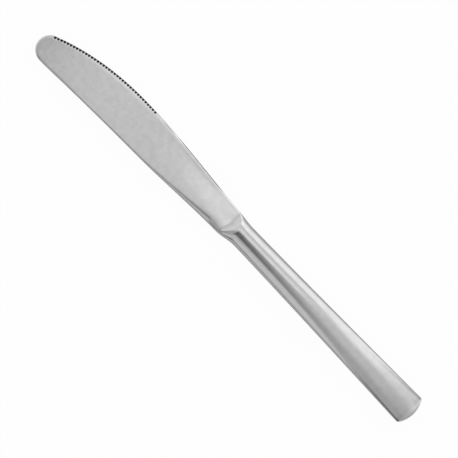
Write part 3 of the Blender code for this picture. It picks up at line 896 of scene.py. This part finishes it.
class Graph:
    """Node tree of a material or world, emptied and then grown by one method."""

    def __init__(self, tree):
        self.tree = tree
        tree.nodes.clear()

    def add(self, kind, settings, sockets):
        """New node with its settings and the values or links of its sockets; gives its first output."""
        node = self.tree.nodes.new(kind)
        for name, value in settings.items():
            setattr(node, name, value)
        for name, value in sockets.items():
            if isinstance(value, Wire):
                self.tree.links.new(value.socket, node.inputs[name])
            else:
                node.inputs[name].default_value = value
        return Wire(self, node.outputs[0]) if node.outputs else None

    def noise(self, place, **sockets):
        """Level of a noise texture at a place."""
        return self.add("ShaderNodeTexNoise", {}, {"Vector": place, **sockets})

    def scaled(self, tint, level):
        """Colour times a level."""
        sockets = {"Vector": tuple(tint), "Scale": level}
        return self.add("ShaderNodeVectorMath", {"operation": "SCALE"}, sockets)


def new_material(name):
    """Empty node material and its graph."""
    material = bpy.data.materials.new(name)
    material.use_nodes = True
    return material, Graph(material.node_tree)


def steel_finish(name, looks, tint, roughness, clouds, relief):
    """Satin steel: fine polishing lines across the knife, with faint clouds in the satin."""
    material, graph = new_material(name)
    place = graph.add("ShaderNodeTexCoord", {}, {}).output("Object")
    pitch = 1.0 / looks.grain_pitch
    pull = pitch / GRAIN_STRETCH
    grain_place = graph.add("ShaderNodeMapping", {}, {"Vector": place, "Scale": (pitch, pull, pull)})
    grain = graph.noise(grain_place, Scale=1.0, **GRAIN_NOISE)
    cloud = graph.noise(place, Scale=1.0 / looks.cloud_size, **CLOUD_NOISE)
    buff_place = graph.add("ShaderNodeMapping", {}, {"Vector": place, "Scale": (BUFF_STRETCH, 1.0, 1.0)})
    buff = graph.noise(buff_place, Scale=1.0 / looks.buff_size, **BUFF_NOISE)
    cloud_part = cloud - NOISE_MEAN
    grain_part = grain - NOISE_MEAN
    base = graph.scaled(tint, 1.0 + cloud_part * clouds + grain_part * GRAIN_SHADE)
    rough = roughness * (1.0 + cloud_part * CLOUD_ROUGHNESS + grain_part * GRAIN_ROUGHNESS)
    height = buff + grain * GRAIN_RELIEF
    bump = graph.add("ShaderNodeBump", {}, {"Height": height, "Strength": 1.0, "Distance": relief})
    surface = graph.add(
        "ShaderNodeBsdfPrincipled",
        {},
        {
            "Base Color": base,
            "Metallic": 1.0,
            "Roughness": rough,
            "Specular Tint": (looks.rim_tint, looks.rim_tint, looks.rim_tint, 1.0),
            "Normal": bump,
        },
    )
    graph.add("ShaderNodeOutputMaterial", {}, {"Surface": surface})
    return material


def cement_finish(name, looks):
    """Set mineral filler: matt, grainy and a little uneven in colour."""
    material, graph = new_material(name)
    place = graph.add("ShaderNodeTexCoord", {}, {}).output("Object")
    grit = graph.noise(place, **GRIT_NOISE)
    patch = graph.noise(place, **PATCH_NOISE)
    base = graph.scaled(looks.cement, CEMENT_SHADE + patch * PATCH_SHADE + grit * GRIT_SHADE)
    bump = graph.add("ShaderNodeBump", {}, {"Height": grit, **GRIT_RELIEF})
    surface = graph.add(
        "ShaderNodeBsdfPrincipled",
        {},
        {"Base Color": base, "Roughness": CEMENT_ROUGHNESS, "Normal": bump},
    )
    graph.add("ShaderNodeOutputMaterial", {}, {"Surface": surface})
    return material


def floor_finish(name, looks):
    """White floor that shows its colour to camera and metal, with a softened shadow of the knife."""
    material, graph = new_material(name)
    path = graph.add("ShaderNodeLightPath", {}, {})
    shown = path.output("Is Glossy Ray") + path.output("Is Transmission Ray")
    white = path.output("Is Camera Ray") * looks.floor_glow + shown * looks.floor_sheen
    diffuse = graph.add("ShaderNodeBsdfDiffuse", {}, {"Color": (*looks.floor, 1.0)})
    glow = graph.add("ShaderNodeEmission", {}, {"Color": (1.0, 1.0, 1.0, 1.0), "Strength": 1.0})
    surface = graph.add("ShaderNodeMixShader", {}, {0: white, 1: diffuse, 2: glow})
    graph.add("ShaderNodeOutputMaterial", {}, {"Surface": surface})
    return material


def place_piece(name, mesh, node):
    """New piece in the place of a CAD node, riding on the knife's one body."""
    piece = add_object(name, mesh)
    piece.location = JOINT
    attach(piece, "root")
    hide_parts(node)


def clean_cuts(mesh):
    """Slivers of the cuts dissolved, and sharp edges where two finishes of a mesh meet."""
    with editing(mesh) as bm:
        bmesh.ops.dissolve_degenerate(bm, dist=SLIVER, edges=bm.edges)
        for edge in bm.edges:
            if len({face.material_index for face in edge.link_faces}) > 1:
                edge.smooth = False


def cut_mesh(name, mesh, cutters):
    """Mesh after Boolean cuts, with the cutters' finishes on the new faces."""
    body = add_object(name, mesh)
    tools = []
    for index, cutter in enumerate(cutters):
        tool = add_object(f"{name}_tool_{index}", cutter)
        modifier = body.modifiers.new(tool.name, "BOOLEAN")
        modifier.operation = "DIFFERENCE"
        modifier.solver = "EXACT"
        modifier.material_mode = "TRANSFER"
        modifier.object = tool
        tools.append(tool)
    depsgraph = bpy.context.evaluated_depsgraph_get()
    result = bpy.data.meshes.new_from_object(body.evaluated_get(depsgraph))
    for item in [body, *tools]:
        bpy.data.objects.remove(item, do_unlink=True)
    result.name = name
    result.shade_smooth()
    result.set_sharp_from_angle(angle=SHARP_ANGLE)
    clean_cuts(result)
    return result


def paint_wall_shade(mesh, form, finish):
    """Painted shade on the steep wall of the plain edge: the near-black gullet finish stands in for the
    shade that falls there.
    """
    mesh.materials.append(finish)
    for face in mesh.polygons:
        x, y, _ = face.center
        plain = form.edge.wall_start < x < form.edge.plain_end + form.edge.plain_fade
        if plain and face.normal.z > 0.0 and y - form.edge_y(x) < form.wall_width(x):
            face.material_index = 1


def block_mesh(name, low, high, finish):
    """Box between two corners."""
    mesh = new_mesh(name, finish)
    spans = [end - start for start, end in zip(low, high)]
    middle = [(end + start) / 2.0 for start, end in zip(low, high)]
    with editing(mesh) as bm:
        bmesh.ops.create_cube(bm, size=1.0)
        bmesh.ops.transform(bm, matrix=Matrix.Diagonal((*spans, 1.0)), verts=bm.verts)
        bmesh.ops.translate(bm, vec=middle, verts=bm.verts)
    return mesh


def wheels_mesh(name, form, finish):
    """Row of round wheels that grind the gullets."""
    mesh = new_mesh(name, finish)
    radius = form.edge.gullet_radius
    with editing(mesh) as bm:
        for place in form.gullet_places():
            bmesh.ops.create_cone(
                bm,
                cap_ends=True,
                segments=GULLET_SIDES,
                radius1=radius,
                radius2=radius,
                depth=2.0 * CUTTER_MARGIN,
                matrix=place,
            )
    return mesh


class StudioTent:
    """Levels of light round the knife: bright beside the cutting edge, with the camera's shade above."""

    def __init__(self, graph):
        heading = graph.add("ShaderNodeTexCoord", {}, {})
        parts = graph.add("ShaderNodeSeparateXYZ", {}, {"Vector": heading})
        self.along = parts.output("X")
        self.across = 0.0 - parts.output("Y")
        turn = graph.add("ShaderNodeMath", {"operation": "ARCTAN2"}, {0: self.across, 1: parts.output("Z")})
        self.lean = turn * math.degrees(1.0)

    def level(self):
        """Light that reaches the knife from each direction."""
        tent = self.overhead()
        tent = self.with_strip(tent)
        tent = self.with_side(tent)
        tent = self.with_gaps(tent)
        return self.with_ends(tent)

    def overhead(self):
        """Panels above the knife and beside its spine."""
        along = self.along
        lean = self.lean
        panel = mix(OVERHEAD_PANEL, BLADE_PANEL, along.smooth(*OVERHEAD_REACH))
        tent = mix(SHADOW_PANEL, panel, lean.smooth(*OVERHEAD_LEAN))
        spine = mix(SPINE_PANEL, SPINE_BLADE_PANEL, along.smooth(*SPINE_REACH))
        bend = along.clamp(*SPINE_BEND_REACH) - SPINE_BEND_MIDDLE
        spine_lean = lean + SPINE_BEND * bend * bend
        tent = mix(tent, spine, 1.0 - spine_lean.smooth(*SPINE_LEAN))
        far = 1.0 - along.smooth(*SPINE_FAR_REACH)
        tent = tent * (1.0 - SPINE_FAR_SHADE * far * (1.0 - lean.smooth(*SPINE_FAR_LEAN)))
        return tent * (1.0 - SPINE_HORIZON_SHADE * (1.0 - lean.smooth(*SPINE_HORIZON_LEAN)))

    def with_strip(self, tent):
        """Slanted strip of light above the knife."""
        along = self.along
        lean = self.lean - STRIP_SLANT * along.clamp(-STRIP_SLANT_REACH, 0.0)
        lean = lean + STRIP_BLADE_SLANT * along.clamp(0.0, STRIP_SLANT_REACH)
        reach = along.smooth(*STRIP_BACK_REACH) * (1.0 - along.smooth(*STRIP_FRONT_REACH))
        strip = mix(STRIP_LIGHT, STRIP_BLADE_LIGHT, along.smooth(*STRIP_BLADE_REACH))
        return tent + strip * lean.smooth(*STRIP_NEAR_LEAN) * (1.0 - lean.smooth(*STRIP_FAR_LEAN)) * reach

    def with_side(self, tent):
        """Bright panel beside the cutting edge."""
        along = self.along
        lean = self.lean - SIDE_SLANT * along.clamp(*SIDE_SLANT_REACH)
        lean = lean - SIDE_KINK * (along.clamp(*SIDE_KINK_REACH) - SIDE_KINK_REACH[1])
        side = SIDE_PANEL + SIDE_HEEL_LIGHT * along.window(*SIDE_HEEL_REACH)
        return mix(tent, side, lean.smooth(*SIDE_LEAN))

    def with_gaps(self, tent):
        """Shade of the gaps between the panels, and of the camera."""
        along = self.along
        lean = self.lean
        far_end = along.window(*FAR_REACH)
        camera = lean.smooth(*CAMERA_SPINE_LEAN) * (1.0 - lean.smooth(*CAMERA_EDGE_LEAN))
        camera = camera * along.smooth(*CAMERA_BACK_REACH) * (1.0 - along.smooth(*CAMERA_FRONT_REACH))
        gaps = (
            (FAR_SHADE, far_end * lean.smooth(*FAR_LEAN)),
            (FAR_RIM_SHADE, far_end * lean.smooth(*FAR_RIM_LEAN)),
            (RIM_SHADE, along.window(*RIM_REACH) * lean.smooth(*RIM_LEAN)),
            (HORIZON_SHADE, lean.smooth(*HORIZON_LEAN)),
            (CAMERA_SHADE, camera),
            (BUTT_SHADE, far_end),
            (BUTT_RIM_SHADE, along.window(*BUTT_RIM_REACH)),
            (TIP_SHADE, along.window(*TIP_REACH) * lean.window(*TIP_LEAN)),
            (FOOT_SHADE, along.window(*FOOT_REACH)),
        )
        for shade, place in gaps:
            tent = tent * (1.0 - shade * place)
        return tent

    def with_ends(self, tent):
        """Panels beyond the tip and behind the butt."""
        along = self.along
        end = mix(END_PANEL, CREST_PANEL, along.smooth(*CREST_REACH))
        end = mix(end, END_SIDE_PANEL, self.across.smooth(*END_SIDE_ACROSS))
        tent = mix(tent, end, along.smooth(*END_REACH))
        behind = (0.0 - along).smooth(*BUTT_END_REACH)
        return mix(tent, BUTT_PANEL, behind * (1.0 - self.lean.smooth(*BUTT_END_LEAN)))


class KNIFE_OT_blade(bpy.types.Operator):
    """Build the forging: serrated blade, bolster and keyed tang"""

    bl_idname = "knife.blade"
    bl_label = "Blade"
    bl_options = {"REGISTER", "UNDO"}

    def execute(self, context):
        looks = context.scene.dessert_knife
        finish = looks.finish
        form = BladeForm(looks)
        satin = steel_finish(
            "satin_blade_steel",
            finish,
            finish.steel,
            finish.blade_roughness,
            finish.blade_clouds,
            finish.blade_relief,
        )
        # Near-black steel with painted shade for the gullets and the edge's wall; the wheels pass it to the
        # faces they cut
        ground = steel_finish(
            "painted_shade_gullet_steel",
            finish,
            finish.gullet,
            finish.gullet_roughness,
            finish.gullet_clouds,
            finish.relief,
        )
        blank = loft("blade_blank", form.tang_sections() + form.blade_sections(), satin)
        paint_wall_shade(blank, form, ground)
        mesh = cut_mesh("satin_blade", blank, [wheels_mesh("gullet_wheels", form, ground)])
        place_piece("satin_blade", mesh, "blade")
        return {"FINISHED"}


class KNIFE_OT_handle(bpy.types.Operator):
    """Build the two pressed half shells of the handle"""

    bl_idname = "knife.handle"
    bl_label = "Handle shells"
    bl_options = {"REGISTER", "UNDO"}

    def execute(self, context):
        looks = context.scene.dessert_knife
        finish = looks.finish
        sizes = looks.handle
        form = HandleForm(sizes)
        satin = steel_finish(
            "satin_handle_steel",
            finish,
            finish.steel,
            finish.handle_roughness,
            finish.handle_clouds,
            finish.relief,
        )
        parting = sizes.seam_height / 2.0 + JOINT_GAP
        reach = sizes.neck_thickness
        for side, name in ((1.0, "handle_shell_upper"), (-1.0, "handle_shell_lower")):
            heights = sorted((side * parting, -side * reach))
            low = (-sizes.length - CUTTER_MARGIN, -sizes.butt_width, heights[0])
            high = (CUTTER_MARGIN, sizes.butt_width, heights[1])
            body = loft("handle_body", form.body(), satin)
            cavity = loft("handle_cavity", form.cavity(), satin)
            parting_block = block_mesh("parting_block", low, high, satin)
            mesh = cut_mesh("satin_" + name, body, [cavity, parting_block])
            place_piece("satin_" + name, mesh, name)
        return {"FINISHED"}


class KNIFE_OT_inner(bpy.types.Operator):
    """Finish the solder seam and the cement round the tang"""

    bl_idname = "knife.inner"
    bl_label = "Seam and cement"
    bl_options = {"REGISTER", "UNDO"}

    def execute(self, context):
        finish = context.scene.dessert_knife.finish
        solder = steel_finish(
            "ground_solder",
            finish,
            finish.solder,
            finish.solder_roughness,
            finish.solder_clouds,
            finish.relief,
        )
        cement = cement_finish("tang_cement_filler", finish)
        for node, material in (("handle_seam", solder), ("tang_cement", cement)):
            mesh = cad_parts[node].data
            mesh.materials.clear()
            mesh.materials.append(material)
        return {"FINISHED"}


class KNIFE_OT_stage(bpy.types.Operator):
    """Set up the camera, the white floor and the soft studio light"""

    bl_idname = "knife.stage"
    bl_label = "Stage"
    bl_options = {"REGISTER", "UNDO"}

    def execute(self, context):
        looks = context.scene.dessert_knife.stage
        self.add_camera(context, looks)
        self.add_floor(looks)
        self.light_studio(context, looks)
        context.scene.view_settings.view_transform = "Standard"
        return {"FINISHED"}

    def add_camera(self, context, looks):
        """Camera straight above, turned so that the knife lies slanted in the picture."""
        data = bpy.data.cameras.new("camera")
        data.lens = data.sensor_width * looks.camera_height / looks.picture_width
        camera = add_object("camera", data)
        camera.location = JOINT + Vector((looks.centre_along, looks.centre_across, looks.camera_height))
        camera.rotation_euler = (0.0, 0.0, math.pi + looks.knife_angle)
        context.scene.camera = camera

    def add_floor(self, looks):
        """Round white floor under the knife."""
        mesh = new_mesh("floor", floor_finish("studio_floor", looks))
        with editing(mesh) as bm:
            bmesh.ops.create_circle(bm, cap_ends=True, radius=looks.floor_radius, segments=FLOOR_SIDES)
        floor = add_object("floor", mesh)
        floor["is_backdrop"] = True

    def light_studio(self, context, looks):
        """Soft tent of grey panels that stand still round the knife."""
        world = bpy.data.worlds.new("studio")
        world.use_nodes = True
        context.scene.world = world
        graph = Graph(world.node_tree)
        tent = StudioTent(graph).level()
        light = graph.add("ShaderNodeBackground", {}, {"Color": tent, "Strength": looks.light})
        graph.add("ShaderNodeOutputWorld", {}, {"Surface": light})


class KNIFE_PT_looks(bpy.types.Panel):
    """Steps that build the finished knife, and their settings."""

    bl_idname = "KNIFE_PT_looks"
    bl_label = "Dessert knife"
    bl_space_type = "VIEW_3D"
    bl_region_type = "UI"
    bl_category = "Knife"

    def draw(self, context):
        for operator in OPERATORS:
            self.layout.operator(operator.bl_idname)
        for part in KnifeLooks.__annotations__:
            group = getattr(context.scene.dessert_knife, part)
            box = self.layout.box()
            box.label(text=part.capitalize())
            for name in type(group).__annotations__:
                box.prop(group, name)


GROUPS = (HandleSizes, TangSizes, BladeSizes, EdgeSizes, FinishLooks, StageLooks, KnifeLooks)
OPERATORS = (KNIFE_OT_blade, KNIFE_OT_handle, KNIFE_OT_inner, KNIFE_OT_stage)


def register():
    """Make the settings, steps and panel known."""
    for item in (*GROUPS, *OPERATORS, KNIFE_PT_looks):
        bpy.utils.register_class(item)
    bpy.types.Scene.dessert_knife = PointerProperty(type=KnifeLooks)


def unregister():
    """Take them away again."""
    del bpy.types.Scene.dessert_knife
    for item in reversed((*GROUPS, *OPERATORS, KNIFE_PT_looks)):
        bpy.utils.unregister_class(item)


def main():
    """Build the knife and its stage."""
    register()
    bpy.ops.knife.blade()
    bpy.ops.knife.handle()
    bpy.ops.knife.inner()
    bpy.ops.knife.stage()
    boxes = {"cad": cad_box, "visual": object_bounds()}
    {name: [list(corner) for corner in box] for name, box in boxes.items()}


if __name__ == "__main__":
    main()
